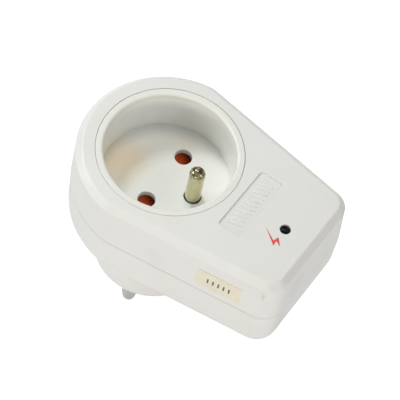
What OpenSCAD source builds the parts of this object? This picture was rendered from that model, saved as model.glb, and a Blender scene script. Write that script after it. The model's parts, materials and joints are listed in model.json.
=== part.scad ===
// Surge protector adaptor: a socket outlet on the front, a two-pin plug with side
// earth clips on the back, and a surge filter in the box beside them.
// Millimetres. The origin is the centre of the plug's face, +Z points out of the
// socket and +X towards the box end.

/* [Casing] */
// Width of the casing's shoulder, from the socket's rim to the seam
shoulder_w = 6.15; // [5.5:0.05:9]
// How far each side wall cuts into the head's circle
side_flat = 0.4; // [0.3:0.05:1.2]
// Angle at which each side wall closes in towards the box end, in degrees
side_taper = 8.1; // [5:0.1:9]
// Distance from the socket's axis to the end wall
end_x = 52.15; // [51.5:0.05:58]
// Radius of the two corners at the box end, in plan
corner_r = 7; // [6:0.1:9]
// Radius that blends the head into each side wall, in plan
blend_r = 10; // [8:0.5:14]
// Height of the space for the wires, behind the shutter's plate
wire_space = 8.9; // [8:0.1:14]
// Height of the front cover, above the seam
front_h = 16.4; // [16:0.1:19]
// Wall thickness of both covers
wall = 2.2; // [1.9:0.05:2.4]
// Width and height of the bevel round the front face
edge_bevel = 1.9; // [1.5:0.1:2.5]
// Small radius on both edges of that bevel
bevel_soft = 0.8; // [0.3:0.1:1]
// How far the front cover's straight walls lean in, from the seam to the bevel
draft = 0.95; // [0.3:0.05:1.4]
// How far its round head leans in over the same height
head_draft = 0.45; // [0.2:0.05:0.9]
// How much narrower the rear cover is at its back than at the seam, on each side
back_draft = 0.2; // [0.1:0.05:0.5]
// Radius round the casing's back edge
back_fillet = 7; // [4:0.1:7.5]
// Height of the tongue that laps behind the front cover's skirt
lap_h = 1.8; // [1.2:0.1:2.5]
// Width of the open line at the seam
seam_gap = 0.12; // [0.05:0.01:0.4]

/* [Front face] */
// Distance from the socket's axis to the middle of the label recess
label_x = 28.5; // [28:0.1:30]
// Size of the label recess along the box
label_w = 7.6; // [5:0.1:8]
// Size of the label recess across the box
label_len = 22.6; // [12:0.1:26]
// Depth of the label recess
label_deep = 0.7; // [0.3:0.1:0.9]
// Distance from the socket's axis to the indicator hole
led_x = 41; // [40.5:0.1:42]
// Sideways place of the indicator hole
led_y = -0.7; // [-1.5:0.1:1.5]
// Radius of the indicator hole
led_hole_r = 1.65; // [1.2:0.05:1.8]

/* [Socket] */
// Radius of the well at its rim
well_r = 19.6; // [19.5:0.05:20.2]
// Depth of the well
well_deep = 15; // [14.5:0.1:15.5]
// How much narrower the well is at its floor
well_draft = 0.2; // [0:0.05:0.4]
// Width of the well's rim
rim_w = 2.35; // [2:0.05:2.8]
// Thickness of the well's floor
floor_t = 2; // [1.6:0.1:2.2]
// Radius of each entry hole
entry_r = 2.7; // [2.6:0.05:2.9]
// How far the earth pin's tip stays below the rim
pin_drop = 0.4; // [0:0.1:1.5]

/* [Plug] */
// Radius of the plug's body
boss_r = 19; // [18.4:0.05:19.3]
// Height of the plug's body, from its face to the casing's back
boss_h = 20.9; // [20:0.1:24]
// Thickness of the plug's face
face_t = 3; // [2.6:0.1:3.4]
// Height of the tapered lead-in at the plug's face
lead_h = 3.5; // [2:0.1:5]
// Width of that lead-in
lead_w = 0.8; // [0.4:0.1:1.2]
// Radius of each pin, and of the earth pin
pin_r = 2.4; // [2.35:0.01:2.45]
// Length of each plug pin outside the face
pin_len = 19; // [18.5:0.1:19.5]
// Length of the pin's narrowing tip
tip_h = 3; // [1.5:0.1:4]
// Distance between the two pins
pin_pitch = 19; // [18.8:0.1:19.2]
// Distance from the plug's axis to the earth pin and the earth hole
earth_x = 10; // [9.9:0.05:10.1]
// Width of the groove for each earth clip
groove_w = 6; // [5:0.1:6.5]
// Depth of that groove
groove_deep = 2; // [1.8:0.1:2.2]

/* [Shutter] */
// How far the shutter reaches past each entry hole
shutter_lap = 0.3; // [0.2:0.05:0.4]
// Height of the space that the shutter slides in
shutter_space = 4.9; // [4.5:0.1:5.4]
// Running gap round the shutter
shutter_gap = 0.25; // [0.15:0.05:0.3]
// Wire radius of the return spring
spring_wire = 0.22; // [0.18:0.01:0.28]
// Number of turns in the return spring
spring_turns = 9; // [6:1:11]

/* [Contacts and wires] */
// Thickness of the contact and earth strips
strip_t = 0.8; // [0.6:0.05:0.9]
// Width of each contact strip
contact_w = 7; // [6:0.1:7.4]
// Width of the earth strap
strap_w = 4; // [3:0.1:4.4]
// Radius of each wire
wire_r = 0.95; // [0.7:0.05:0.95]

/* [Surge filter] */
// Thickness of the circuit board
board_t = 1.6; // [1.2:0.1:1.8]
// Gap between the circuit board and each side wall
board_gap = 3.7; // [3:0.1:5]
// Radius of each varistor disc
varistor_r = 6.9; // [5:0.1:7]
// Thickness of each varistor disc
varistor_t = 4.4; // [3:0.1:4.6]

/* [Fasteners] */
// Core radius of the casing screws
screw_r = 1.1; // [1:0.05:1.25]
// Head radius of the casing screws
screw_head_r = 2.6; // [2.2:0.05:2.7]
// Core radius of the board screws
board_screw_r = 0.85; // [0.7:0.05:0.95]

/* [Hidden] */
$fn = 64;

// Heights
plate_t = 1.6;
seat_gap = 0.1;
z_back = boss_h;
z_plate = z_back + wall + wire_space;
z_shelf = z_plate + plate_t;
z_under = z_shelf + shutter_space;
z_floor = z_under + floor_t;
z_front = z_floor + well_deep;
z_seam = z_front - front_h;

// Plan of the casing, seen from the front
rim_r = well_r + rim_w;
head_r = rim_r + shoulder_w;
side_normal = 90 - side_taper;
side_offset = head_r - side_flat;
corner = corner_centre(0);

// Seam and shells
skirt_t = wall / 2;
lap_gap = 0.1;

// Socket well
rim_soft = 0.8;
rim_gap = 0.08;
flange_t = 1.6;
flange_r = rim_r + 1.95;
entry_y = pin_pitch / 2;
pin_ring = 0.3;

// Plug
boss_wall = 2.2;
boss_in = boss_r - boss_wall;
collar_r = boss_r + 1.6;
collar_t = 1.4;
body_gap = 0.1;
groove_x = boss_r - groove_deep;
groove_back = 1.6;
pin_neck = pin_r - 0.25;
shoulder_r = 3.6;
shoulder_t = 1.2;
tube_wall = 0.85;
tube_fit = 0.05;
tube_base = 1;

// Contacts
z_strap = z_back - 3.9;
z_contact = z_back - 8.3;
rivet_r = 1.4;
rivet_fit = 0.03;
rivet_head = 0.7;
contact_half = 3.6;
chamber_x = contact_half + strip_t / 2 + 0.6;
chamber_y = contact_w / 2 + 0.6;
chamber_wall = 1.2;

// Shutter
pad_half_w = 3.3;
pad_toe = entry_r + shutter_lap;
shutter_travel = pad_toe + entry_r + 0.1;
bar_from = -5;
bar_to = -8;
rail_y = entry_y + pad_half_w + shutter_gap;
skirt_in = rim_r - 1.95;
spring_r = 1.7;
peg_r = 1.2;

// Screws
post_r = 4;
front_post_r = 2.8;
head_screw = polar(flange_r + front_post_r + 0.7, 44.6);
screw_head_h = 1.9;
screw_fit = 0.05;
z_screw_seat = z_seam - 7.6;
screw_bite = 11;
SCREW_PLACES = [
    head_screw, [head_screw.x, -head_screw.y], corner, [corner.x, -corner.y]
];

// Surge filter
board_z = z_seam - 4.9 - board_t;
board_top = board_z + board_t;
board_x0 = 24.6;
board_neck_x = corner.x - post_r - 0.5;
board_x1 = corner.x + 2.9;
board_half = half_width(board_neck_x) - wall - board_gap;
neck_half = corner.y - post_r - 1;
board_screw_y = neck_half - 3.4;
BOARD_SCREWS = [[led_x + 2.6, board_screw_y], [led_x + 2.6, -board_screw_y]];
BOARD_RESTS = [[board_x0 + 2.4, board_half - 1.7], [board_x0 + 2.4, 1.7 - board_half]];
board_post_r = 2.3;
board_screw_len = board_t + (board_z - z_back - wall) / 2;
lead_r = 0.3;
varistor_x = board_x0 + 3.4;
varistor_y = board_half / 2 + 0.15;
back_row_x = varistor_x + varistor_t + 3.4;
mid_row_x = (varistor_x + back_row_x) / 2;
capacitor_size = [varistor_t + 0.4, 2 * varistor_r - 1.3, 1.5 * varistor_r];
fuse_len = varistor_r;
led_r = 1.5;
led_tip = z_front - wall - 0.3;
sleeve_in = 2.05;
sleeve_wall = 1.1;
sleeve_h = 6.3;
wire_x = 26;
wire_low = z_back + 5.1;

// Points and small tools

function polar(r, a) = [r * cos(a), r * sin(a)];

function arc(c, r, from, to, n) = [for (i = [0:n]) c + polar(r, from + (to - from) * i / n)];

function unit(v) = v / norm(v);

// Points that round the corner b of the line a, b, c
function soften(a, b, c, r, n = 3) =
    let (
        u = unit(a - b),
        v = unit(c - b),
        half = acos(u * v) / 2,
        centre = b + unit(u + v) * r / sin(half),
        p = b + u * r / tan(half) - centre,
        q = b + v * r / tan(half) - centre,
        from = atan2(p.y, p.x),
        turn = (atan2(q.y, q.x) - from + 540) % 360 - 180
    )
    arc(centre, r, from, from + turn, n);

// Half the casing's width at x, at the seam
function half_width(x) = (side_offset - sin(side_taper) * x) / cos(side_taper);

// Radius and centre of a corner where the casing's plan is moved in or out by u
function corner_radius(u) = max(corner_r + u, 0.1);

function corner_centre(u) =
    let (r = corner_radius(u), x = end_x + u - r)
    [x, half_width(x) - (r - u) / cos(side_taper)];

// How far the head's upright lean differs from the walls' at height z
function head_out(z) =
    (draft - head_draft) * max(0, min(1, (z - z_seam) / (front_h - edge_bevel)));

// The casing's plan at height z, moved in or out by u
function outline(u, z = z_seam) =
    let (
        r = head_r + u + head_out(z),
        b = blend_r + u,
        turn = acos((side_offset + u - b) / (r - b)),
        a = side_normal + turn,
        c = polar(r - b, a)
    )
    concat(
        arc(corner_centre(u), corner_radius(u), 0, side_normal, 10),
        [for (i = [0:3]) c + polar(b, side_normal + turn * i / 4)],
        arc([0, 0], r, a, 360 - a, 40),
        [for (i = [1:4]) [c.x, -c.y] + polar(b, turn * i / 4 - a)],
        arc([corner_centre(u).x, -corner_centre(u).y], corner_radius(u), -side_normal, 0, 10)
    );

// Closed skin through rings of points that follow each other and all have n points
module skin(rings, n) {
    last = (len(rings) - 1) * n;
    polyhedron(
        points = [for (r = rings) each r],
        faces = concat(
            [[for (k = [0:n - 1]) k]],
            [for (i = [0:len(rings) - 2], k = [0:n - 1])
                let (a = i * n + k, b = i * n + (k + 1) % n)
                [b, a, a + n, b + n]],
            [[for (k = [n - 1:-1:0]) last + k]]
        )
    );
}

// Solid that follows the casing's plan up a section: its x moves the plan in or out, its y is the height
module follow_plan(section) {
    skin([for (s = section) [for (p = outline(s.x, s.y)) [p.x, p.y, s.y]]], len(outline(0)));
}

module plan_slab(u, low, high) {
    translate([0, 0, low]) linear_extrude(high - low) polygon(outline(u));
}

module at_each(places) {
    for (p = places) translate(p) children();
}

// Points of a strip bent along the line of points, on the side that turn gives
function strip_side(points, offset) =
    let (last = len(points) - 1)
    [for (i = [0:last])
        let (
            a = unit(points[i] - points[max(i - 1, 0)] + (i == 0 ? points[1] - points[0] : [0, 0])),
            b = i == last ? a : unit(points[i + 1] - points[i]),
            n = [-a.y - b.y, a.x + b.x]
        )
        points[i] + n * 2 * offset / (n * n)];

module bent_strip(points, t) {
    other = strip_side(points, -t / 2);
    polygon(concat(strip_side(points, t / 2), [for (i = [len(other) - 1:-1:0]) other[i]]));
}

// Stands a section up so that its x stays along X and its y becomes the height
module upright(width) {
    rotate([90, 0, 0]) translate([0, 0, -width / 2]) linear_extrude(width) children();
}

module bent_wire(points, r) {
    for (i = [0:len(points) - 2]) {
        d = points[i + 1] - points[i];
        translate(points[i]) rotate([0, acos(d.z / norm(d)), atan2(d.y, d.x)])
            cylinder(h = norm(d), r = r, $fn = 32);
    }
    for (i = [1:len(points) - 2]) translate(points[i]) sphere(r, $fn = 32);
}

module rounded_plate(size, r, h) {
    linear_extrude(h) {
        square([size.x - 2 * r, size.y], center = true);
        square([size.x, size.y - 2 * r], center = true);
        for (x = [-1, 1], y = [-1, 1])
            translate([x * (size.x / 2 - r), y * (size.y / 2 - r)]) circle(r, $fn = 24);
    }
}

// Covers

function front_skin() =
    let (
        low = [0, z_seam + seam_gap],
        side = [-draft, z_front - edge_bevel],
        face = [-draft - edge_bevel, z_front],
        middle = [-draft - edge_bevel - 3, z_front]
    )
    concat([low], soften(low, side, face, bevel_soft), soften(side, face, middle, bevel_soft));

module front_cavity() {
    plan_slab(-skirt_t, z_seam - 1, z_seam + lap_h + lap_gap);
    follow_plan([[-wall, z_seam - 1], [-wall, z_seam + lap_h], [-wall - draft, z_front - wall]]);
}

module led_sleeve() {
    translate([led_x, led_y, z_front - wall - sleeve_h])
        cylinder(h = sleeve_h + wall / 2, r = sleeve_in + sleeve_wall);
}

module front_cover() {
    color("whitesmoke") difference() {
        follow_plan(front_skin());
        difference() {
            front_cavity();
            at_each(SCREW_PLACES) translate([0, 0, z_seam])
                cylinder(h = front_h - wall / 2, r = front_post_r);
            led_sleeve();
        }
        translate([0, 0, z_seam]) cylinder(h = front_h + 1, r = rim_r + rim_gap, $fn = 128);
        at_each(SCREW_PLACES) translate([0, 0, z_seam - 1])
            cylinder(h = screw_bite + 2, r = screw_r + screw_fit);
        translate([label_x, 0, z_front - label_deep])
            rounded_plate([label_w, label_len], 0.9, label_deep + 1);
        translate([led_x, led_y, z_front - wall - sleeve_h - 1])
            cylinder(h = sleeve_h + 1, r = sleeve_in);
        translate([led_x, led_y, z_front - wall - 1]) cylinder(h = wall + 2, r = led_hole_r);
    }
}

// Section of the rear cover's skin, moved in by t, from the back to the seam
function rear_skin(t) =
    let (
        middle = [-back_draft - back_fillet - 3, z_back + t],
        turn = [-back_draft - t, z_back + t],
        seam = [-t, z_seam]
    )
    concat(soften(middle, turn, seam, back_fillet - t, 7), [seam]);

module rear_outer() {
    follow_plan(rear_skin(0));
    plan_slab(-skirt_t - lap_gap, z_seam - 1, z_seam + lap_h);
}

module rear_cavity() {
    follow_plan(rear_skin(wall));
    plan_slab(-wall, z_seam - 0.5, z_seam + lap_h + 1);
}

module board_posts() {
    at_each(concat(BOARD_SCREWS, BOARD_RESTS)) translate([0, 0, z_back + wall / 2])
        cylinder(h = board_z - z_back - wall / 2, r = board_post_r);
}

module rear_cover() {
    color("whitesmoke") difference() {
        rear_outer();
        difference() {
            rear_cavity();
            at_each(SCREW_PLACES) translate([0, 0, z_back - 1])
                cylinder(h = z_seam - z_back + 1, r = post_r);
            board_posts();
        }
        translate([0, 0, z_back - 1]) cylinder(h = wall + 2, r = boss_r + body_gap, $fn = 128);
        at_each(SCREW_PLACES) {
            translate([0, 0, z_back - 1])
                cylinder(h = z_screw_seat - z_back + 1, r = screw_head_r + 0.4);
            cylinder(h = z_front, r = screw_r + 0.35);
        }
        at_each(BOARD_SCREWS) translate([0, 0, z_back + wall + 1])
            cylinder(h = z_front, r = board_screw_r + screw_fit);
    }
}

// Plug

// One walled cell round each contact, open on the side where its wire leaves
module contact_chambers() {
    for (s = [1, -1]) translate([0, s * entry_y, 0]) difference() {
        translate([-chamber_x - chamber_wall, -chamber_y - chamber_wall, face_t / 2])
            cube([2 * (chamber_x + chamber_wall), 2 * (chamber_y + chamber_wall), z_plate - face_t / 2]);
        translate([-chamber_x, -chamber_y, face_t])
            cube([2 * chamber_x, 2 * chamber_y, z_plate]);
        translate([0, -wire_r - 0.4, z_contact + 3.5])
            cube([2 * chamber_x, 2 * (wire_r + 0.4), z_plate]);
    }
}

module clip_backing() {
    for (s = [1, -1]) translate([s * (groove_x - groove_back / 2 + 0.2), 0, face_t / 2])
        translate([-groove_back / 2 - 0.2, -groove_w / 2 - 1.4, 0])
            cube([groove_back + 0.4, groove_w + 2.8, z_back + wall - face_t / 2]);
}

module clip_grooves() {
    slot_h = strip_t + 0.1;
    for (s = [1, -1]) {
        translate([s * (groove_x + groove_deep), 0, -1])
            translate([-groove_deep, -groove_w / 2, 0])
                cube([2 * groove_deep, groove_w, z_strap + strip_t + 1.05]);
        translate([s * groove_x, 0, z_strap - 0.05])
            translate([-groove_back - 1, -strap_w / 2 - 0.15, 0])
                cube([2 * groove_back + 2, strap_w + 0.3, slot_h]);
    }
}

module plug_body() {
    seat = z_back + wall + seat_gap;
    color("whitesmoke") difference() {
        union() {
            rotate_extrude($fn = 128) polygon(concat(
                [[0, 0]],
                soften([0, 0], [boss_r - lead_w, 0], [boss_r, lead_h], 0.5),
                [[boss_r, lead_h], [boss_r, seat], [collar_r, seat], [collar_r, seat + collar_t]],
                [[boss_in, seat + collar_t], [boss_in, face_t], [0, face_t]]
            ));
            contact_chambers();
            clip_backing();
        }
        clip_grooves();
        for (s = [1, -1]) translate([0, s * entry_y, -1])
            cylinder(h = face_t + 2, r = pin_r + tube_fit);
        translate([earth_x, 0, -1]) cylinder(h = face_t + 2, r = pin_r + 0.5);
        translate([earth_x, 0, tube_base])
            cylinder(h = face_t, r = pin_r + tube_fit + tube_wall + tube_fit);
    }
}

// Socket

module socket_well() {
    inner_low = well_r - well_draft;
    color("ivory") difference() {
        rotate_extrude($fn = 128) polygon(concat(
            [[0, z_under], [rim_r, z_under]],
            [[rim_r, z_front - wall - seat_gap - flange_t]],
            [[flange_r, z_front - wall - seat_gap - flange_t], [flange_r, z_front - wall - seat_gap]],
            [[rim_r, z_front - wall - seat_gap]],
            soften([rim_r, z_floor], [rim_r, z_front], [0, z_front], 0.3),
            soften([rim_r, z_front], [well_r, z_front], [inner_low, z_floor], rim_soft, 5),
            [[inner_low, z_floor], [0, z_floor]]
        ));
        for (s = [1, -1]) translate([0, s * entry_y, z_under - 1])
            cylinder(h = floor_t + 2, r = entry_r);
        translate([earth_x, 0, z_under - 1]) cylinder(h = floor_t + 2, r = pin_r + pin_ring);
    }
}

module socket_earth_pin() {
    tip = z_front - pin_drop;
    shoulder = pin_r + 0.5;
    z_seat = z_strap + strip_t;
    color("silver") translate([earth_x, 0, 0]) rotate_extrude() polygon(concat(
        [[0, z_strap - 1.3], [rivet_r, z_strap - 1.3], [rivet_r, z_seat], [shoulder, z_seat]],
        [[shoulder, z_seat + 1.6], [pin_neck, z_seat + 1.6], [pin_neck, z_floor], [pin_r, z_floor]],
        arc([0, tip - pin_r], pin_r, 0, 90, 9)
    ));
}

// Shutter and the plate that it slides on

module shutter() {
    low = z_shelf + shutter_gap;
    high = z_under - shutter_gap;
    color("sienna") {
        for (s = [1, -1]) translate([0, s * entry_y, 0]) upright(2 * pad_half_w) polygon([
            [bar_from - 1, low], [pad_toe, low], [pad_toe, low + 0.8], [-entry_r - 0.3, high],
            [bar_from - 1, high]
        ]);
        translate([bar_to, -entry_y - pad_half_w, low])
            cube([bar_from - bar_to, 2 * (entry_y + pad_half_w), high - low - 0.6]);
        translate([bar_to + 0.5, 0, (z_shelf + z_under) / 2]) rotate([0, -90, 0])
            cylinder(h = 3, r = peg_r, $fn = 32);
    }
}

module inner_plate() {
    skirt_r = rim_r - 0.55;
    color("gainsboro") difference() {
        union() {
            translate([0, 0, z_plate]) cylinder(h = plate_t, r = skirt_r, $fn = 128);
            difference() {
                translate([0, 0, z_plate]) cylinder(h = z_under - z_plate - seat_gap, r = skirt_r, $fn = 128);
                translate([0, 0, z_shelf]) cylinder(h = shutter_space, r = skirt_in, $fn = 128);
            }
            for (s = [1, -1]) translate([bar_to - shutter_travel - 1, s * (rail_y + 0.6) - 0.6, z_shelf - 0.5])
                cube([pad_toe - bar_to + shutter_travel + 1, 1.2, shutter_space / 2]);
            translate([bar_from + 0.1, -3, z_shelf - 0.5]) cube([1.2, 6, shutter_space / 2]);
        }
        for (s = [1, -1]) translate([0, s * entry_y, z_plate - 1])
            cylinder(h = plate_t + 2, r = entry_r + 0.4);
        translate([earth_x, 0, z_plate - 1]) cylinder(h = plate_t + 2, r = pin_r + pin_ring);
    }
}

// One ring of the spring's wire at t, from 0 at the skirt to 1 at the shutter
function spring_ring(t) =
    let (
        a = 360 * spring_turns * t,
        start = 2 * spring_wire - skirt_in,
        x = start + (bar_to - spring_wire - start) * t
    )
    [for (k = [0:5]) let (p = polar(spring_wire, 60 * k))
        [x + p.x, (spring_r + p.y) * cos(a), (spring_r + p.y) * sin(a)]];

module shutter_spring() {
    rings = spring_turns * 12;
    color("lightsteelblue") translate([0, 0, (z_shelf + z_under) / 2])
        skin([for (i = [0:rings]) spring_ring(i / rings)], 6);
}

// Live parts

module contact() {
    mid = z_contact + strip_t / 2;
    top = z_plate - 1;
    pinch = pin_r - 0.2 + strip_t / 2;
    color("goldenrod") difference() {
        upright(contact_w) bent_strip([
            [-contact_half + 0.3, top], [-pinch, top - 4], [-contact_half, z_contact + 8],
            [-contact_half, mid], [contact_half, mid], [contact_half, z_contact + 8],
            [pinch, top - 4], [contact_half - 0.3, top]
        ], strip_t);
        translate([0, 0, z_contact - 1]) cylinder(h = strip_t + 2, r = rivet_r + rivet_fit);
    }
}

module plug_pin() {
    rivet_z = z_contact + strip_t;
    color("silver") rotate_extrude() polygon(concat(
        [[0, -pin_len]],
        soften([0, -pin_len], [pin_r - 0.5, -pin_len], [pin_r, tip_h - pin_len], 0.9, 6),
        [[pin_r, tip_h - pin_len], [pin_r, 0], [pin_neck, 0], [pin_neck, face_t], [shoulder_r, face_t]],
        [[shoulder_r, face_t + shoulder_t]],
        [[pin_r, face_t + shoulder_t], [pin_r, z_contact], [rivet_r, z_contact], [rivet_r, rivet_z]],
        [[rivet_r + rivet_head, rivet_z], [rivet_r + rivet_head, rivet_z + rivet_head / 2]],
        [[rivet_r, rivet_z + rivet_head], [0, rivet_z + rivet_head]]
    ));
}

module earth_tube() {
    bore = pin_r + tube_fit;
    closed = 1.5;
    color("goldenrod") translate([earth_x, 0, 0]) difference() {
        translate([0, 0, tube_base]) cylinder(h = z_strap - tube_base, r = bore + tube_wall);
        translate([0, 0, tube_base - 1]) cylinder(h = z_strap - tube_base - closed + 1, r = bore);
        translate([0, 0, tube_base]) cylinder(h = z_strap, r = rivet_r + rivet_fit);
        translate([-0.4, 0, face_t + 1]) cube([0.8, 2 * bore, z_strap - face_t - closed - 2]);
    }
}

module earth_strap() {
    mid = z_strap + strip_t / 2;
    leg = groove_x + strip_t / 2 + 0.05;
    bow = leg + 1;
    color("goldenrod") difference() {
        union() {
            upright(strap_w) bent_strip([
                [-leg, 1.6], [-bow, z_strap / 2], [-leg, z_strap - 2], [-leg, mid],
                [leg, mid], [leg, z_strap - 2], [bow, z_strap / 2], [leg, 1.6]
            ], strip_t);
            translate([earth_x, 0, z_strap]) cylinder(h = strip_t, r = pin_r + 2.3);
        }
        translate([earth_x, 0, z_strap - 1]) cylinder(h = strip_t + 2, r = rivet_r + rivet_fit);
    }
}

// Each line wire leaves its contact low down, climbs beside it and runs under the board
module line_wire(s) {
    side = contact_half + strip_t / 2;
    climb = side + 4.2;
    low = z_contact + 5.5;
    bent_wire([
        [side, s * entry_y, low], [climb, s * entry_y, low], [climb, s * entry_y, wire_low],
        [wire_x, s * entry_y, wire_low], [wire_x, s * entry_y, board_z]
    ], wire_r);
}

module earth_lead() {
    rise = earth_x + pin_r + 0.5 + wire_r + 0.1;
    level = wire_low + 1.5;
    bent_wire([
        [rise, 0, z_strap + strip_t], [rise, 0, level], [wire_x, 0, level], [wire_x, 0, board_z]
    ], wire_r);
}

// Surge filter

module circuit_board() {
    color("darkkhaki") difference() {
        translate([0, 0, board_z]) linear_extrude(board_t) {
            translate([board_x0, -board_half]) square([board_neck_x - board_x0, 2 * board_half]);
            translate([board_x0 + 1, -neck_half]) square([board_x1 - board_x0 - 1, 2 * neck_half]);
        }
        at_each(BOARD_SCREWS) translate([0, 0, board_z - 1])
            cylinder(h = board_t + 2, r = board_screw_r + 0.25);
    }
}

// A disc that stands on edge on two leads, its faces towards the head and the box end
module varistor(place) {
    gap = 1.4;
    color("royalblue") translate([place.x, place.y, board_top + gap + varistor_r]) {
        rotate([0, 90, 0]) rotate_extrude() polygon(concat(
            [[0, -varistor_t / 2], [varistor_r - 1.2, -varistor_t / 2]],
            arc([varistor_r - varistor_t / 2, 0], varistor_t / 2, -60, 60, 4),
            [[varistor_r - 1.2, varistor_t / 2], [0, varistor_t / 2]]
        ));
        for (s = [1, -1]) translate([s * 0.9, s * 3.5, -varistor_r - gap])
            cylinder(h = varistor_r, r = lead_r + 0.1, $fn = 24);
    }
}

// A round body that lies on the board along Y, with a lead bent down at each end
module axial_part(place, r, length) {
    z = board_top + r + 0.4;
    reach = length / 2 + 1.2;
    translate([place.x, place.y - length / 2, z]) rotate([-90, 0, 0]) cylinder(h = length, r = r, $fn = 32);
    for (s = [1, -1]) bent_wire([
        [place.x, place.y + s * (length / 2 - 0.5), z], [place.x, place.y + s * reach, z],
        [place.x, place.y + s * reach, board_top]
    ], lead_r);
}

module suppression_capacitor() {
    size = capacitor_size;
    color("gold") translate([back_row_x + 0.4, -varistor_y - 0.3, board_top]) {
        translate([0, 0, 0.5]) rounded_plate([size.x, size.y], 0.6, size.z);
        for (s = [1, -1]) translate([0, s * (size.y / 2 - 1.25), 0]) cylinder(h = 1, r = lead_r + 0.1, $fn = 24);
    }
}

module indicator_led() {
    rim = 0.9;
    foot = led_tip - 4.8;
    color("seagreen") translate([led_x, led_y, 0]) {
        rotate_extrude() polygon(concat(
            [[0, foot], [led_r + 0.35, foot], [led_r + 0.35, foot + rim], [led_r, foot + rim]],
            arc([0, led_tip - led_r], led_r, 0, 90, 6)
        ));
        for (s = [1, -1]) translate([0, s * 0.9, board_top])
            cylinder(h = foot - board_top + 0.5, r = lead_r, $fn = 24);
    }
}

// Fasteners

// A pan head with a cross recess, its seat at the origin and its shank upwards
module pan_screw(r, head_r, head_h, length) {
    difference() {
        union() {
            rotate_extrude() polygon([
                [0, -head_h], [head_r * 0.7, -head_h], [head_r, -head_h * 0.55], [head_r, 0],
                [r, 0], [r, length - r], [0, length]
            ]);
        }
        for (a = [0, 90]) rotate(a) translate([-head_r * 0.55, -head_r * 0.12, -head_h - 0.1])
            cube([head_r * 1.1, head_r * 0.24, head_h * 0.6]);
    }
}

module casing_screws() {
    color("silver") at_each(SCREW_PLACES) translate([0, 0, z_screw_seat])
        pan_screw(screw_r, screw_head_r, screw_head_h, z_seam - z_screw_seat + screw_bite - 1);
}

module board_screws() {
    color("silver") at_each(BOARD_SCREWS) translate([0, 0, board_top]) mirror([0, 0, 1])
        pan_screw(board_screw_r, board_screw_r + 1.05, 1.3, board_screw_len);
}

front_cover();
rear_cover();
plug_body();
socket_well();
socket_earth_pin();
inner_plate();
shutter();
shutter_spring();
translate([0, -entry_y, 0]) contact();  // live_contact
translate([0, entry_y, 0]) contact();  // neutral_contact
translate([0, -entry_y, 0]) plug_pin();  // live_pin
translate([0, entry_y, 0]) plug_pin();  // neutral_pin
earth_tube();
earth_strap();
circuit_board();
varistor([varistor_x, -varistor_y]);  // varistor_live_neutral
varistor([varistor_x, varistor_y]);  // varistor_live_earth
varistor([back_row_x, varistor_y]);  // varistor_neutral_earth
color("silver") axial_part([mid_row_x, 0], 1.4, fuse_len);  // thermal_fuse
suppression_capacitor();
indicator_led();
color("tan") axial_part([led_x + 3.4, 0], 1.1, 3.4);  // led_resistor
color("dimgray") axial_part([mid_row_x, varistor_y + 1.1], 1.1, 3.6);  // led_diode
color("saddlebrown") line_wire(-1);  // live_wire
color("royalblue") line_wire(1);  // neutral_wire
color("yellowgreen") earth_lead();  // earth_wire
casing_screws();
board_screws();
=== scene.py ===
"""Surge protector adaptor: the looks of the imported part.

The camera, the studio and the finishes of the moulded casing, the nickel pins and
the parts inside are set up here. The printed sign, the sticker, the raised bars in
the label recess and the screw threads are the only shapes that this script adds.
All lengths are in metres, in the part's own frame.
"""

import json
import math

import bmesh
import bpy
from mathutils import Matrix, Vector

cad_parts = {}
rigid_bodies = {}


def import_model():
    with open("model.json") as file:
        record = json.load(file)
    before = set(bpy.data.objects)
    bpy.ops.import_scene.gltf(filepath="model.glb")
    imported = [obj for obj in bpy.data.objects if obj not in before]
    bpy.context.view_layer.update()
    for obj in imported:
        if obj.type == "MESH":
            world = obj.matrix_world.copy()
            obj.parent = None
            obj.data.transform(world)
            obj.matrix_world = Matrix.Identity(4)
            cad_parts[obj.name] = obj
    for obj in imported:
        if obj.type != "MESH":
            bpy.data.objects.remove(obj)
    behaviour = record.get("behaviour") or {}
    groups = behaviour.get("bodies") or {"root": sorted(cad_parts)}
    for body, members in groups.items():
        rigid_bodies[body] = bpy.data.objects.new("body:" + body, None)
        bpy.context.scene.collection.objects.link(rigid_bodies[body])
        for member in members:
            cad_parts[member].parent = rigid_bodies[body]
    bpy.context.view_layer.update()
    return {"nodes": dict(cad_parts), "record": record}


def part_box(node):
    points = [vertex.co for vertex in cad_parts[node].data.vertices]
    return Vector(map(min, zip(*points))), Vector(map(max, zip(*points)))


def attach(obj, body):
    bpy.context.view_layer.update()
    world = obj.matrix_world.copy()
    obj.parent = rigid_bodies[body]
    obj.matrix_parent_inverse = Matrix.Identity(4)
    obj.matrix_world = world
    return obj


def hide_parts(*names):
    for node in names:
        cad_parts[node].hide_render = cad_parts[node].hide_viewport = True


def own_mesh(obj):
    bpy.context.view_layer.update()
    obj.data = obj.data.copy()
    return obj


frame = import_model()

MM = 0.001

# Places that the part's source also holds
FACE_Z = 55.5 * MM
SEAM_Z = 39.1 * MM
BEVEL_Z = 53.6 * MM
SIDE_TAPER = math.radians(8.1)
SIDE_OFFSET = 27.7 * MM
FRONT_DRAFT = 0.95 * MM
LABEL_MIDDLE = (28.5 * MM, 0.0)
LABEL_FLOOR_Z = 54.8 * MM
PIN_TIP_Z = -19 * MM
SCREW_CORE = 1.1 * MM
WELL_RADIUS = 19.6 * MM


# Materials

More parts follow.
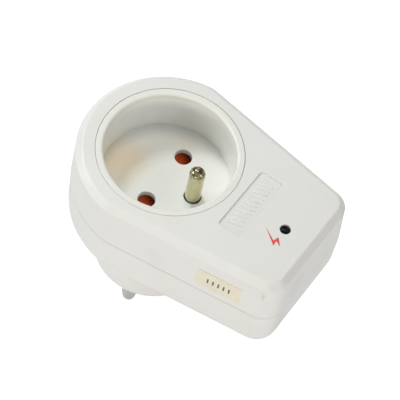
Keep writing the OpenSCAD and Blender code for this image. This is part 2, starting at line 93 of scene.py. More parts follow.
class Value:
    """A shader socket that can be used in sums."""

    def __init__(self, paint, socket):
        self.paint = paint
        self.socket = socket

    def _math(self, operation, first, second):
        return self.paint.node("ShaderNodeMath", {"operation": operation}, {0: first, 1: second})

    def __add__(self, other):
        return self._math("ADD", self, other)

    def __radd__(self, other):
        return self._math("ADD", other, self)

    def __sub__(self, other):
        return self._math("SUBTRACT", self, other)

    def __rsub__(self, other):
        return self._math("SUBTRACT", other, self)

    def __mul__(self, other):
        return self._math("MULTIPLY", self, other)

    def __rmul__(self, other):
        return self._math("MULTIPLY", other, self)

    def __truediv__(self, other):
        return self._math("DIVIDE", self, other)

    def __pow__(self, other):
        return self._math("POWER", self, other)


class Paint:
    """One material, built from nodes."""

    def __init__(self, name):
        self.material = bpy.data.materials.new(name)
        self.material.use_nodes = True
        self.tree = self.material.node_tree
        self.tree.nodes.clear()

    def node(self, kind, settings=None, inputs=None, output=0):
        """Adds a node and gives one of its outputs as a value."""
        made = self.tree.nodes.new(kind)
        for key, setting in (settings or {}).items():
            if key == "stops":
                self._set_stops(made.color_ramp, setting)
            else:
                setattr(made, key, setting)
        for key, given in (inputs or {}).items():
            socket = made.inputs[key]
            if isinstance(given, Value):
                self.tree.links.new(given.socket, socket)
            else:
                socket.default_value = given
        return Value(self, made.outputs[output]) if made.outputs else made

    @staticmethod
    def _set_stops(ramp, stops):
        while len(ramp.elements) < len(stops):
            ramp.elements.new(1.0)
        for element, (position, colour) in zip(ramp.elements, stops):
            element.position = position
            element.color = colour

    def place(self):
        """The point on the piece, in metres."""
        return self.node("ShaderNodeTexCoord", output="Object")

    def noise(self, size, detail=2.0, roughness=0.5, place=None, seed=0.0):
        """Smooth noise from 0 to 1 whose features are about `size` metres across."""
        shifted = self.node(
            "ShaderNodeVectorMath",
            {"operation": "ADD"},
            {0: place or self.place(), 1: (seed, seed * 0.7, seed * 1.3)},
        )
        return self.node(
            "ShaderNodeTexNoise",
            inputs={"Vector": shifted, "Scale": 1 / size, "Detail": detail, "Roughness": roughness},
        )

    def ramp(self, value, low, high):
        """0 below low, 1 above high and a smooth step between them."""
        return self.node(
            "ShaderNodeMapRange",
            {"interpolation_type": "SMOOTHSTEP"},
            {"Value": value, "From Min": low, "From Max": high},
        )

    def axis(self, name, place=None):
        return self.node("ShaderNodeSeparateXYZ", inputs={0: place or self.place()}, output=name)

    def near(self, point, radius, soft, stretch=(1, 1, 1)):
        """1 inside a ball round the point, fading to 0 over `soft` metres."""
        squeezed = self.node(
            "ShaderNodeVectorMath", {"operation": "MULTIPLY"}, {0: self.place(), 1: stretch}
        )
        middle = tuple(p * k for p, k in zip(point, stretch))
        away = self.node(
            "ShaderNodeVectorMath", {"operation": "DISTANCE"}, {0: squeezed, 1: middle}, output="Value"
        )
        return 1 - self.ramp(away, radius, radius + soft)

    def mix(self, amount, first, second):
        return self.node(
            "ShaderNodeMix",
            {"data_type": "RGBA"},
            {"Factor": amount, 6: first, 7: second},
            output=2,
        )

    def bump(self, height, depth, strength=1.0, under=None):
        given = {"Height": height, "Distance": depth, "Strength": strength}
        if under is not None:
            given["Normal"] = under
        return self.node("ShaderNodeBump", inputs=given)

    def finish(self, **sockets):
        """Ends the material in one principled shader."""
        names = {
            "base": "Base Color",
            "metallic": "Metallic",
            "roughness": "Roughness",
            "normal": "Normal",
            "coat": "Coat Weight",
            "coat_roughness": "Coat Roughness",
            "specular": "Specular IOR Level",
            "subsurface": "Subsurface Weight",
            "subsurface_scale": "Subsurface Scale",
            "ior": "IOR",
        }
        shader = self.node("ShaderNodeBsdfPrincipled", inputs={names[k]: v for k, v in sockets.items()})
        self.node("ShaderNodeOutputMaterial", inputs={"Surface": shader})
        return self.material


def grey(level):
    return (level, level, level, 1.0)


def moulded_white(name, clean, aged, edge_radius, marks=(), lip=None, grain_depth=0.004 * MM):
    """Smooth white moulding: a soft waviness, fine grain, a little ageing, the marks given (handling marks,
    painted shade, painted light) and, on a lip, its own tone with a painted reflection line.
    """
    paint = Paint(name)
    clouds = paint.noise(14 * MM, 3, 0.55)
    colour = paint.mix(paint.ramp(clouds, 0.35, 0.75) * 0.6, clean, aged)
    if lip:
        from_z, tint = lip
        on_lip = paint.ramp(paint.axis("Z"), from_z, from_z + 1.5 * MM)
        colour = paint.mix(on_lip, colour, tint)
        # Painted reflection: a thin brownish line along the lip's inner edge, on the -X side.
        across = paint.node(
            "ShaderNodeVectorMath", {"operation": "MULTIPLY"}, {0: paint.place(), 1: (1, 1, 0)}
        )
        reach = paint.node("ShaderNodeVectorMath", {"operation": "LENGTH"}, {0: across}, output="Value")
        inner_edge = 1 - paint.ramp(reach, WELL_RADIUS - 0.05 * MM, WELL_RADIUS + 0.25 * MM)
        far_side = paint.ramp(paint.axis("X"), -14 * MM, 6 * MM)
        colour = paint.mix(on_lip * inner_edge * (1 - far_side) * 0.35, colour, (0.62, 0.56, 0.40, 1))
    specks = paint.ramp(paint.noise(0.5 * MM, 1, 0.4, seed=0.3), 0.78, 0.83)
    colour = paint.mix(specks * 0.06, colour, (0.42, 0.38, 0.32, 1))
    smudge = paint.ramp(paint.noise(6 * MM, 4, 0.65, seed=0.11), 0.58, 0.80)
    colour = paint.mix(smudge * 0.07, colour, (0.55, 0.53, 0.50, 1))
    # Each mark tints a ball round its point: handling marks, painted shade and painted light alike.
    for point, radius, soft, stretch, tint, strength in marks:
        broken = paint.ramp(paint.noise(1.1 * MM, 4, 0.7, seed=0.21), 0.20, 0.55)
        reach = paint.near(point, radius, soft, stretch)
        colour = paint.mix(reach * broken * strength, colour, tint)
    rubbed = paint.noise(2.4 * MM, 4, 0.7, seed=0.4)
    scratches = paint.node(
        "ShaderNodeTexNoise",
        inputs={
            "Vector": paint.node(
                "ShaderNodeMapping",
                inputs={"Vector": paint.place(), "Rotation": (0, 0, 0.6), "Scale": (1, 14, 1)},
            ),
            "Scale": 1 / (9 * MM),
            "Detail": 3.0,
        },
    )
    roughness = 0.30 + rubbed * 0.10 + paint.ramp(scratches, 0.60, 0.72) * 0.06
    flat_reach = paint.node(
        "ShaderNodeVectorMath", {"operation": "MULTIPLY"}, {0: paint.place(), 1: (1, 1, 0)}
    )
    from_axis = paint.node("ShaderNodeVectorMath", {"operation": "LENGTH"}, {0: flat_reach}, output="Value")
    at_gap = paint.ramp(from_axis, 21.3 * MM, 21.6 * MM) * (1 - paint.ramp(from_axis, 22.5 * MM, 22.8 * MM))
    soft_edges = paint.node(
        "ShaderNodeBevel", {"samples": 4}, {"Radius": (1 - at_gap * 0.85) * edge_radius}
    )
    waves = paint.bump(paint.noise(7 * MM, 1, 0.4, seed=0.5), 0.06 * MM, 0.5, soft_edges)
    grain = paint.bump(paint.noise(0.28 * MM, 2, 0.5, seed=0.8), grain_depth, 0.6, waves)
    return paint.finish(
        base=colour, roughness=roughness, normal=grain, specular=0.5, subsurface=0.06, subsurface_scale=1.2 * MM
    )


def plated(name, base, warm, roughness=0.17, tip=None):
    """Nickel plating: drawn lines round the pin, worn warmer in patches, and painted dark reflections and
    painted glints at the tip.
    """
    paint = Paint(name)
    patches = paint.ramp(paint.noise(2.2 * MM, 3, 0.6), 0.42, 0.72)
    colour = paint.mix(patches * 0.6, base, warm)
    polish = 1.0
    if tip:
        on_tip = paint.near(tip, 1.9 * MM, 0.9 * MM)
        # Painted reflections: dark patches and bright specks on the tip stand in for the dome's broken
        # reflections.
        painted_dark_reflections = paint.ramp(paint.noise(1.3 * MM, 2, 0.55, seed=0.9), 0.44, 0.53)
        painted_glints = paint.ramp(paint.noise(0.8 * MM, 1, 0.4, seed=0.37), 0.60, 0.66)
        colour = paint.mix(on_tip * painted_dark_reflections * 0.9, colour, (0.13, 0.08, 0.035, 1))
        colour = paint.mix(on_tip * painted_glints * 0.9, colour, (1.0, 0.96, 0.84, 1))
        polish = 1 - on_tip * 0.45
    turned = paint.node(
        "ShaderNodeMapping", inputs={"Vector": paint.place(), "Scale": (0.6, 0.6, 9)}
    )
    lines = paint.node(
        "ShaderNodeTexNoise", inputs={"Vector": turned, "Scale": 1 / (1.6 * MM), "Detail": 3.0}
    )
    return paint.finish(
        base=colour,
        metallic=1.0,
        roughness=(lines * 0.12 + roughness) * polish,
        normal=paint.bump(lines, 0.006 * MM, 0.5),
    )


def stamped_metal(name, base, dull, roughness=0.28):
    """Sheet metal: rolled grain and a dulled film in patches."""
    paint = Paint(name)
    film = paint.ramp(paint.noise(3 * MM, 4, 0.6), 0.40, 0.70)
    rolled = paint.node(
        "ShaderNodeTexNoise",
        inputs={
            "Vector": paint.node(
                "ShaderNodeMapping", inputs={"Vector": paint.place(), "Scale": (1, 1, 0.12)}
            ),
            "Scale": 1 / (0.4 * MM),
            "Detail": 2.0,
        },
    )
    return paint.finish(
        base=paint.mix(film * 0.7, base, dull),
        metallic=1.0,
        roughness=roughness + film * 0.15,
        normal=paint.bump(rolled, 0.004 * MM, 0.5),
    )


def moulded_colour(name, base, deep, roughness, size=2 * MM, specular=0.5):
    """A coloured moulding, dip or lacquer: slight flow marks and a fine orange-peel."""
    paint = Paint(name)
    flow = paint.ramp(paint.noise(size, 3, 0.6), 0.35, 0.70)
    peel = paint.noise(0.5 * MM, 2, 0.5, seed=0.6)
    return paint.finish(
        base=paint.mix(flow * 0.7, base, deep),
        specular=specular,
        roughness=roughness + flow * 0.10,
        normal=paint.bump(peel, 0.012 * MM, 0.5),
    )


def phenolic_board():
    """Phenolic board: brown resin with paper fibres."""
    paint = Paint("phenolic_board")
    stretched = paint.node(
        "ShaderNodeMapping", inputs={"Vector": paint.place(), "Scale": (1, 6, 1)}
    )
    fibres = paint.node(
        "ShaderNodeTexNoise", inputs={"Vector": stretched, "Scale": 1 / (2 * MM), "Detail": 4.0}
    )
    return paint.finish(
        base=paint.mix(fibres, (0.42, 0.30, 0.11, 1), (0.62, 0.47, 0.20, 1)),
        roughness=0.42 + fibres * 0.15,
        normal=paint.bump(fibres, 0.01 * MM, 0.5),
    )


def printed_ink(name, base, thin):
    """Pad-printed ink: a little uneven, with the surface below showing where it is thin."""
    paint = Paint(name)
    cover = paint.ramp(paint.noise(0.5 * MM, 3, 0.6), 0.45, 0.75)
    return paint.finish(
        base=paint.mix(cover * 0.5, base, thin),
        roughness=0.36 + cover * 0.1,
        normal=paint.bump(cover, 0.005 * MM, 0.5),
    )


def sticker_paper():
    """Cream sticker paper: fibres and a faint yellowing."""
    paint = Paint("sticker_paper")
    fibres = paint.noise(0.35 * MM, 3, 0.6)
    aged = paint.ramp(paint.noise(4 * MM, 3, 0.6, seed=0.2), 0.35, 0.75)
    colour = paint.mix(aged * 0.8, (0.83, 0.77, 0.62, 1), (0.78, 0.71, 0.55, 1))
    return paint.finish(
        base=colour, roughness=0.55 + fibres * 0.1, normal=paint.bump(fibres, 0.006 * MM, 0.6)
    )


# The indicator hole's wall gets painted shade: a near-black ring where the hole lies in shade.
INDICATOR_HOLE = (41 * MM, -0.7 * MM, FACE_Z - 2.2 * MM)
SCUFF = (47.4 * MM, -20.5 * MM, 50.8 * MM)
casing_white = moulded_white(
    "casing_white",
    (0.800, 0.788, 0.758, 1),
    (0.772, 0.762, 0.722, 1),
    0.25 * MM,
    marks=(
        # Painted shade: the indicator hole's wall, darkened to near black.
        (INDICATOR_HOLE, 1.95 * MM, 0.5 * MM, (1, 1, 1), (0.008, 0.02, 0.008, 1), 1.0),
        (SCUFF, 0.1 * MM, 0.6 * MM, (1, 1, 0.22), (0.50, 0.40, 0.27, 1), 0.45),
        ((50.6 * MM, -8 * MM, 46 * MM), 1.5 * MM, 5 * MM, (1, 1, 1), (0.62, 0.58, 0.52, 1), 0.22),
        ((14 * MM, -25.2 * MM, 44 * MM), 1.0 * MM, 4 * MM, (1, 1, 1), (0.62, 0.58, 0.52, 1), 0.18),
    ),
)
# Painted light: a warm patch on the left part of the recess floor, standing in for warm light that falls there.
RECESS_WARM_LIGHT = (-13.5 * MM, -3 * MM, 40.5 * MM)
insert_white = moulded_white(
    "insert_white",
    (0.86, 0.86, 0.825, 1),
    (0.84, 0.84, 0.80, 1),
    0.22 * MM,
    # Painted light: the warm patch on the recess floor.
    marks=((RECESS_WARM_LIGHT, 1 * MM, 11 * MM, (1, 1, 1), (0.94, 0.78, 0.50, 1), 0.65),),
    # The lip also gets a painted reflection line along its inner edge.
    lip=(53.2 * MM, (0.815, 0.802, 0.748, 1)),
    grain_depth=0.012 * MM,
)
pin_low, pin_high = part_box("socket_earth_pin")
PIN_TIP = ((pin_low.x + pin_high.x) / 2, (pin_low.y + pin_high.y) / 2, pin_high.z - 1.8 * MM)
nickel = plated("nickel", (0.63, 0.60, 0.385, 1), (0.52, 0.46, 0.24, 1), tip=PIN_TIP)
pin_nickel = plated("pin_nickel", (0.70, 0.70, 0.66, 1), (0.62, 0.60, 0.53, 1), 0.24)
FINISHES = {
    "casing": casing_white,
    "insert": insert_white,
    "nickel": nickel,
    "inner_plastic": moulded_colour(
        "natural_moulding", (0.72, 0.72, 0.69, 1), (0.66, 0.65, 0.61, 1), 0.45
    ),
    "shutter": moulded_colour("shutter_brown", (0.70, 0.100, 0.014, 1), (0.50, 0.060, 0.010, 1), 0.34),
    "spring_steel": stamped_metal("spring_steel", (0.62, 0.62, 0.61, 1), (0.50, 0.50, 0.49, 1), 0.22),
    "brass": stamped_metal("brass_strip", (0.80, 0.62, 0.30, 1), (0.62, 0.44, 0.18, 1)),
    "board": phenolic_board(),
    "varistor": moulded_colour("varistor_dip", (0.03, 0.13, 0.42, 1), (0.02, 0.09, 0.33, 1), 0.38),
    "fuse_metal": stamped_metal("fuse_case", (0.70, 0.70, 0.68, 1), (0.58, 0.57, 0.54, 1), 0.30),
    "capacitor": moulded_colour("capacitor_box", (0.75, 0.47, 0.06, 1), (0.66, 0.40, 0.05, 1), 0.35),
    "led": moulded_colour("dark_lens", (0.008, 0.022, 0.011, 1), (0.005, 0.014, 0.008, 1), 0.22, specular=0.08),
    "resistor": moulded_colour("resistor_lacquer", (0.60, 0.45, 0.25, 1), (0.54, 0.39, 0.20, 1), 0.40),
    "diode": moulded_colour("diode_moulding", (0.015, 0.015, 0.015, 1), (0.03, 0.03, 0.03, 1), 0.35),
    "brown_wire": moulded_colour("brown_insulation", (0.14, 0.045, 0.015, 1), (0.11, 0.035, 0.012, 1), 0.42),
    "blue_wire": moulded_colour("blue_insulation", (0.015, 0.09, 0.42, 1), (0.012, 0.07, 0.34, 1), 0.42),
    "earth_wire": moulded_colour("earth_insulation", (0.22, 0.42, 0.03, 1), (0.60, 0.60, 0.04, 1), 0.42),
    "screw_steel": stamped_metal("zinc_plate", (0.64, 0.64, 0.62, 1), (0.52, 0.51, 0.47, 1), 0.30),
}


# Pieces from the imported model

def dress_node(name, material):
    """Gives a CAD node its finish."""
    node = frame["nodes"][name]
    node.data.materials.clear()
    node.data.materials.append(material)


def joined_copy(name, body, material, angle=34):
    """A copy of a node with its facets joined, so that its curves shade as curves."""
    mesh = frame["nodes"][name].data.copy()
    form = bmesh.new()
    form.from_mesh(mesh)
    bmesh.ops.remove_doubles(form, verts=form.verts, dist=0.002 * MM)
    bmesh.ops.dissolve_degenerate(form, edges=form.edges, dist=0.004 * MM)
    bmesh.ops.dissolve_limit(form, angle_limit=math.radians(0.4), verts=form.verts, edges=form.edges)
    form.to_mesh(mesh)
    form.free()
    even_normals(mesh, math.radians(angle))
    mesh.materials.clear()
    mesh.materials.append(material)
    return add_piece(name + "_shell", mesh, body, stands_for=name)


def even_normals(mesh, angle):
    """Shades each corner by the faces round its point that turn less than the angle, large ones first."""
    mesh.shade_smooth()
    limit = math.cos(angle)
    around = [[] for _ in mesh.vertices]
    for face in mesh.polygons:
        for point in face.vertices:
            around[point].append((face.normal.copy(), face.area))
    normals = []
    for face in mesh.polygons:
        for point in face.vertices:
            total = Vector()
            for normal, area in around[point]:
                if face.normal.dot(normal) > limit:
                    total += normal * area
            normals.append(total.normalized() if total.length else face.normal)
    mesh.normals_split_custom_set(normals)


def add_piece(name, mesh, body, stands_for=None):
    """Links a mesh as a piece that rides on a body."""
    piece = bpy.data.objects.new(name, mesh)
    bpy.context.scene.collection.objects.link(piece)
    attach(piece, body)
    if stands_for:
        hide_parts(stands_for)
    return piece


PLUG_PINS = ("live_pin", "neutral_pin")
JOINED = ("front_cover", "rear_cover", "plug_body", "socket_well", "socket_earth_pin", "live_pin", "neutral_pin")
for entry in frame["record"]["subparts"]:
    node_name, slot_name = entry["node"], entry["material_slot"]
    finish = pin_nickel if node_name in PLUG_PINS else FINISHES[slot_name]
    dress_node(node_name, finish)
    if node_name in JOINED:
        joined_copy(node_name, "housing", finish)


def squeezed_spring():
    """A copy of the return spring that stands in for the node, with a mesh of its own."""
    low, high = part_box("shutter_spring")
    joint = next(j for j in frame["record"]["behaviour"]["joints"] if j["name"] == "shutter_slide")
    travel = joint["range_m"][1]
    mesh = frame["nodes"]["shutter_spring"].data.copy()
    spring = add_piece("return_spring", mesh, "housing", stands_for="shutter_spring")
    length = high.x - low.x
    (length - travel) / length
    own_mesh(spring)


squeezed_spring()


# Pieces that repeat: the label's raised bars, the sticker's marks and the screw threads

class Tree:
    """A geometry node tree with named inputs."""

    def __init__(self, name):
        self.group = bpy.data.node_groups.new(name, "GeometryNodeTree")
        self.group.interface.new_socket("Geometry", in_out="OUTPUT", socket_type="NodeSocketGeometry")
        self.ids = {}
        self.entry = None

    def take(self, name, kind, default=None):
        made = self.group.interface.new_socket(name, in_out="INPUT", socket_type=kind)
        if default is not None:
            made.default_value = default
        self.ids[name] = made.identifier

    def given(self, name):
        if self.entry is None:
            self.entry = self.group.nodes.new("NodeGroupInput")
        return self.entry.outputs[name]

    def node(self, kind, settings=None, inputs=None, output=0):
        made = self.group.nodes.new(kind)
        for key, setting in (settings or {}).items():
            setattr(made, key, setting)
        for key, value in (inputs or {}).items():
            if isinstance(value, bpy.types.NodeSocket):
                self.group.links.new(value, made.inputs[key])
            else:
                made.inputs[key].default_value = value
        return made.outputs[output]

    def end(self, geometry):
        solid = self.node("GeometryNodeRealizeInstances", inputs={"Geometry": geometry})
        painted = self.node(
            "GeometryNodeSetMaterial", inputs={"Geometry": solid, "Material": self.given("Material")}
        )
        out = self.group.nodes.new("NodeGroupOutput")
        self.group.links.new(painted, out.inputs["Geometry"])
        return self.group


def grown_mesh(tree, name, **values):
    """The plain mesh that a tree makes with these inputs."""
    seed = bpy.data.objects.new(name + "_seed", bpy.data.meshes.new(name + "_seed"))
    bpy.context.scene.collection.objects.link(seed)
    made = seed.modifiers.new("grow", "NODES")
    made.node_group = tree.group
    for key, value in values.items():
        made[tree.ids[key]] = value
    bpy.context.view_layer.update()
    shaped = seed.evaluated_get(bpy.context.evaluated_depsgraph_get())
    mesh = bpy.data.meshes.new_from_object(shaped)
    mesh.name = name
    seed.modifiers.clear()
    bpy.data.objects.remove(seed)
    return mesh


def bar_row_tree():
    """A row of equal bars along Y, each turned by a lean."""
    tree = Tree("bar_row")
    tree.take("Count", "NodeSocketInt", 8)
    tree.take("Pitch", "NodeSocketFloat", 2 * MM)
    tree.take("Size", "NodeSocketVector", (4 * MM, 0.6 * MM, 0.3 * MM))
    tree.take("Lean", "NodeSocketFloat", 0.0)
    tree.take("Material", "NodeSocketMaterial")
    across = tree.node("ShaderNodeCombineXYZ", inputs={"Y": tree.given("Pitch")})
    line = tree.node(
        "GeometryNodeMeshLine",
        {"mode": "OFFSET"},
        {"Count": tree.given("Count"), "Offset": across},
    )
    bar = tree.node("GeometryNodeMeshCube", inputs={"Size": tree.given("Size")})
    turn = tree.node("ShaderNodeCombineXYZ", inputs={"Z": tree.given("Lean")})
    row = tree.node(
        "GeometryNodeInstanceOnPoints", inputs={"Points": line, "Instance": bar, "Rotation": turn}
    )
    tree.end(row)
    return tree


def thread_tree():
    """A screw thread: a thin ridge that climbs round the core."""
    tree = Tree("screw_thread")
    tree.take("Core", "NodeSocketFloat", SCREW_CORE)
    tree.take("Length", "NodeSocketFloat", 9 * MM)
    tree.take("Turns", "NodeSocketFloat", 9.0)
    tree.take("Ridge", "NodeSocketFloat", 0.2 * MM)
    tree.take("Material", "NodeSocketMaterial")
    climb = tree.node(
        "GeometryNodeCurveSpiral",
        inputs={
            "Resolution": 20,
            "Rotations": tree.given("Turns"),
            "Start Radius": tree.given("Core"),
            "End Radius": tree.given("Core"),
            "Height": tree.given("Length"),
        },
    )
    ridge = tree.node(
        "GeometryNodeCurvePrimitiveCircle", inputs={"Resolution": 4, "Radius": tree.given("Ridge")}
    )
    thread = tree.node(
        "GeometryNodeCurveToMesh", inputs={"Curve": climb, "Profile Curve": ridge, "Fill Caps": True}
    )
    tree.end(thread)
    return tree


def moved(mesh, place):
    mesh.transform(place)
    form = bmesh.new()
    form.from_mesh(mesh)
    bmesh.ops.recalc_face_normals(form, faces=form.faces)
    form.to_mesh(mesh)
    form.free()
    return mesh


def softened(mesh, width, segments=2):
    """Rounds every edge of a small form."""
    form = bmesh.new()
    form.from_mesh(mesh)
    bmesh.ops.bevel(form, geom=form.edges, offset=width, segments=segments, affect="EDGES", profile=0.6)
    form.to_mesh(mesh)
    form.free()
    mesh.shade_smooth()
    mesh.set_sharp_from_angle(angle=math.radians(50))
    return mesh


bars = bar_row_tree()

LABEL_PLATE = 0.34 * MM

BAR_COUNT = 11
BAR_PITCH = 1.62 * MM
label_bars = grown_mesh(
    bars,
    "label_bars",
    Count=BAR_COUNT,
    Pitch=BAR_PITCH,
    Size=(4.3 * MM, 0.7 * MM, 0.28 * MM),
    Lean=math.radians(12),
    Material=casing_white,
)
moved(
    label_bars,
    Matrix.Translation(
        (
            LABEL_MIDDLE[0],
            LABEL_MIDDLE[1] - BAR_PITCH * (BAR_COUNT - 1) / 2,
            LABEL_FLOOR_Z + LABEL_PLATE + 0.02 * MM,
        )
    ),
)
add_piece("label_bars", softened(label_bars, 0.12 * MM), "housing")


# The sign, printed on the front face

def flat_form(name, points, thickness):
    """A thin flat piece from an outline, lying on the plane z = 0."""
    form = bmesh.new()
    base = form.faces.new([form.verts.new((x, y, 0)) for x, y in points])
    lifted = bmesh.ops.extrude_face_region(form, geom=[base])
    tops = [v for v in lifted["geom"] if isinstance(v, bmesh.types.BMVert)]
    bmesh.ops.translate(form, verts=tops, vec=(0, 0, thickness))
    bmesh.ops.recalc_face_normals(form, faces=form.faces)
    mesh = bpy.data.meshes.new(name)
    form.to_mesh(mesh)
    form.free()
    return mesh


def rounded_outline(width, height, radius, steps=4):
    points = []
    for corner, (sx, sy) in enumerate(((1, 1), (-1, 1), (-1, -1), (1, -1))):
        for i in range(steps + 1):
            a = math.radians(90 * corner + 90 * i / steps)
            points.append(
                (
                    sx * (width / 2 - radius) + radius * math.cos(a),
                    sy * (height / 2 - radius) + radius * math.sin(a),
                )
            )
    return points


FLASH = [(36.15, -3.6), (40.35, -5.95), (40.85, -4.2), (41.25, -4.45), (43.0, -6.5), (41.1, -5.6), (41.3, -7.4)]
sign = flat_form("surge_sign", [(x * MM, y * MM) for x, y in FLASH], 0.03 * MM)
moved(sign, Matrix.Translation((0, 0, FACE_Z - 0.005 * MM)))
sign.materials.append(printed_ink("red_ink", (0.78, 0.055, 0.055, 1), (0.80, 0.20, 0.18, 1)))
add_piece("surge_sign", sign, "housing")


# The bare plate that the label's bars stand on

plate = flat_form("label_plate", rounded_outline(7.62 * MM, 22.62 * MM, 0.9 * MM), LABEL_PLATE + 0.02 * MM)
moved(plate, Matrix.Translation((LABEL_MIDDLE[0], LABEL_MIDDLE[1], LABEL_FLOOR_Z - 0.02 * MM)))
plate.materials.append(casing_white)
add_piece("label_plate", plate, "housing")


# The sticker, on the long side above the seam

def side_frame(x, z):
    """Turns a flat form at the origin onto the front cover's side at x and z: its x runs along the box."""
    lean = math.atan2(FRONT_DRAFT, BEVEL_Z - SEAM_Z)
    offset = SIDE_OFFSET - FRONT_DRAFT * (z - SEAM_Z) / (BEVEL_Z - SEAM_Z)
    y = -(offset - math.sin(SIDE_TAPER) * x) / math.cos(SIDE_TAPER)
    return (
        Matrix.Translation((x, y, z))
        @ Matrix.Rotation(SIDE_TAPER, 4, "Z")
        @ Matrix.Rotation(math.pi / 2 - lean, 4, "X")
    )


STICKER_X = 34.3 * MM
STICKER_Z = 45.4 * MM
sticker_place = side_frame(STICKER_X, STICKER_Z)
sticker = flat_form("side_sticker", rounded_outline(14 * MM, 7.2 * MM, 0.5 * MM), 0.12 * MM)
moved(sticker, sticker_place)
sticker.materials.append(sticker_paper())
add_piece("side_sticker", sticker, "housing")

MARK_COUNT = 5
MARK_PITCH = 1.7 * MM
marks = grown_mesh(
    bars,
    "sticker_marks",
    Count=MARK_COUNT,
    Pitch=MARK_PITCH,
    Size=(2.0 * MM, 0.5 * MM, 0.03 * MM),
    Lean=0.0,
    Material=printed_ink("grey_ink", (0.10, 0.10, 0.10, 1), (0.24, 0.23, 0.21, 1)),
)
moved(
    marks,
    sticker_place
    @ Matrix.Rotation(math.pi / 2, 4, "Z")
    @ Matrix.Translation((0, -MARK_PITCH * (MARK_COUNT - 1) / 2, 0.125 * MM)),
)
add_piece("sticker_marks", marks, "housing")


# Screw threads

screws_low, screws_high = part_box("casing_screws")
THREAD_FROM = SEAM_Z + 0.5 * MM
THREAD_LENGTH = screws_high.z - THREAD_FROM - 1.4 * MM
threads = thread_tree()


def screw_places(node_name):
    """The axes of the solids in a node, from their points nearest to the far end."""
    mesh = frame["nodes"][node_name].data
    top = max(v.co.z for v in mesh.vertices)
    tips = [v.co for v in mesh.vertices if v.co.z > top - 0.02 * MM]
    places = []
    for tip in tips:
        if all((tip - place).length > MM for place in places):
            places.append(tip.copy())
    return places


for number, tip in enumerate(screw_places("casing_screws")):
    thread = grown_mesh(
        threads,
        "screw_thread_%d" % number,
        Core=SCREW_CORE - 0.03 * MM,
        Length=THREAD_LENGTH,
        Turns=8.0,
        Ridge=0.2 * MM,
        Material=FINISHES["screw_steel"],
    )
    moved(thread, Matrix.Translation((tip.x, tip.y, THREAD_FROM)))
    add_piece("screw_thread_%d" % number, thread, "housing")


# Camera

AZIMUTH = 0.413220
ELEVATION = 1.012964
ROLL = 0.230687
CAMERA_PLACE = Vector((134.31 * MM, -277.475 * MM, 526.70 * MM))
FOCAL_PIXELS = 1937.8
PHOTO_WIDTH = 400


def aim_camera():
    back = Vector(
        (
            math.sin(AZIMUTH) * math.cos(ELEVATION),
            -math.cos(AZIMUTH) * math.cos(ELEVATION),
            math.sin(ELEVATION),
        )
    )
    level = Vector((0, 0, 1)).cross(back).normalized()
    rise = back.cross(level)
    right = level * math.cos(ROLL) + rise * math.sin(ROLL)
    up = rise * math.cos(ROLL) - level * math.sin(ROLL)
    lens = bpy.data.cameras.new("photo_camera")
    lens.sensor_fit = "HORIZONTAL"
    lens.sensor_width = 36
    lens.lens = FOCAL_PIXELS / PHOTO_WIDTH * lens.sensor_width
    lens.clip_start = 0.01
    lens.clip_end = 20
    camera = bpy.data.objects.new("photo_camera", lens)
    bpy.context.scene.collection.objects.link(camera)
    turn = Matrix((right, up, back)).transposed().to_4x4()
    camera.matrix_world = Matrix.Translation(CAMERA_PLACE) @ turn
    bpy.context.scene.camera = camera
    return right, up, back


view_right, view_up, view_back = aim_camera()


# Studio

def soft_light(name, direction, distance, size, power, colour):
    """A soft box at that distance from the part, aimed at it."""
    lamp = bpy.data.lights.new(name, "AREA")
    lamp.shape = "RECTANGLE"
    lamp.size, lamp.size_y = size
    lamp.energy = power
    lamp.color = colour
    holder = bpy.data.objects.new(name, lamp)
    bpy.context.scene.collection.objects.link(holder)
    target = Vector((15 * MM, 0, 30 * MM))
    away = direction.normalized()
    holder.location = target + away * distance
    holder.rotation_euler = away.to_track_quat("Z", "Y").to_euler()
    return holder


soft_light("window_light", Vector((-0.62, 0.22, 0.75)), 0.8, (0.16, 0.16), 2.3, (0.84, 0.94, 1.0))
soft_light("ceiling_light", Vector((-0.18, 0.20, 0.96)), 0.8, (0.20, 0.20), 1.15, (1.0, 0.90, 0.76))
soft_light("front_light", Vector((0.38, -0.92, 0.09)), 1.3, (1.2, 0.24), 7.7, (1.0, 0.97, 0.92))
soft_light("end_light", Vector((0.88, -0.05, 0.47)), 1.3, (0.5, 0.5), 2.8, (0.95, 0.96, 1.0))
soft_light("left_light", Vector((-0.82, -0.34, 0.46)), 1.3, (0.5, 0.4), 4.3, (0.93, 0.98, 1.0))


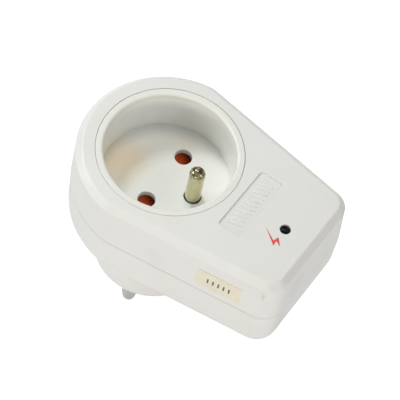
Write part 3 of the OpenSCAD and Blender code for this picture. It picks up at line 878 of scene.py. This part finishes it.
def make_world():
    world = bpy.data.worlds.new("studio")
    world.use_nodes = True
    nodes = world.node_tree.nodes
    nodes.clear()
    room = nodes.new("ShaderNodeBackground")
    room.inputs["Color"].default_value = (1.0, 1.0, 1.0, 1)
    room.inputs["Strength"].default_value = 0.31
    backdrop = nodes.new("ShaderNodeBackground")
    backdrop.inputs["Color"].default_value = (1, 1, 1, 1)
    backdrop.inputs["Strength"].default_value = 1.0
    path = nodes.new("ShaderNodeLightPath")
    choose = nodes.new("ShaderNodeMixShader")
    out = nodes.new("ShaderNodeOutputWorld")
    link = world.node_tree.links.new
    link(path.outputs["Is Camera Ray"], choose.inputs["Fac"])
    link(room.outputs[0], choose.inputs[1])
    link(backdrop.outputs[0], choose.inputs[2])
    link(choose.outputs[0], out.inputs["Surface"])
    bpy.context.scene.world = world


make_world()


def floor_finish():
    """Matt white paper that reads as white to the camera and keeps a soft shadow."""
    paint = Paint("white_paper")
    grain = paint.noise(3 * MM, 3, 0.6)
    sheet = paint.node(
        "ShaderNodeBsdfDiffuse",
        inputs={"Color": paint.mix(grain * 0.3, grey(0.75), grey(0.73)), "Roughness": 0.5},
    )
    camera_ray = paint.node("ShaderNodeLightPath", output="Is Camera Ray")
    glossy_ray = paint.node("ShaderNodeLightPath", output="Is Glossy Ray")
    glow = paint.node(
        "ShaderNodeEmission",
        inputs={"Color": (1, 1, 1, 1), "Strength": camera_ray * 0.72 + glossy_ray * 0.2},
    )
    lit = paint.node("ShaderNodeAddShader", inputs={0: sheet, 1: glow})
    paint.node("ShaderNodeOutputMaterial", inputs={"Surface": lit})
    return paint.material


def lay_floor():
    half = 3.0
    mesh = bpy.data.meshes.new("floor")
    z = PIN_TIP_Z
    mesh.from_pydata(
        [(-half, -half, z), (half, -half, z), (half, half, z), (-half, half, z)], [], [(0, 1, 2, 3)]
    )
    mesh.materials.append(floor_finish())
    floor = bpy.data.objects.new("floor", mesh)
    bpy.context.scene.collection.objects.link(floor)


lay_floor()

bpy.context.scene.view_settings.view_transform = "Standard"
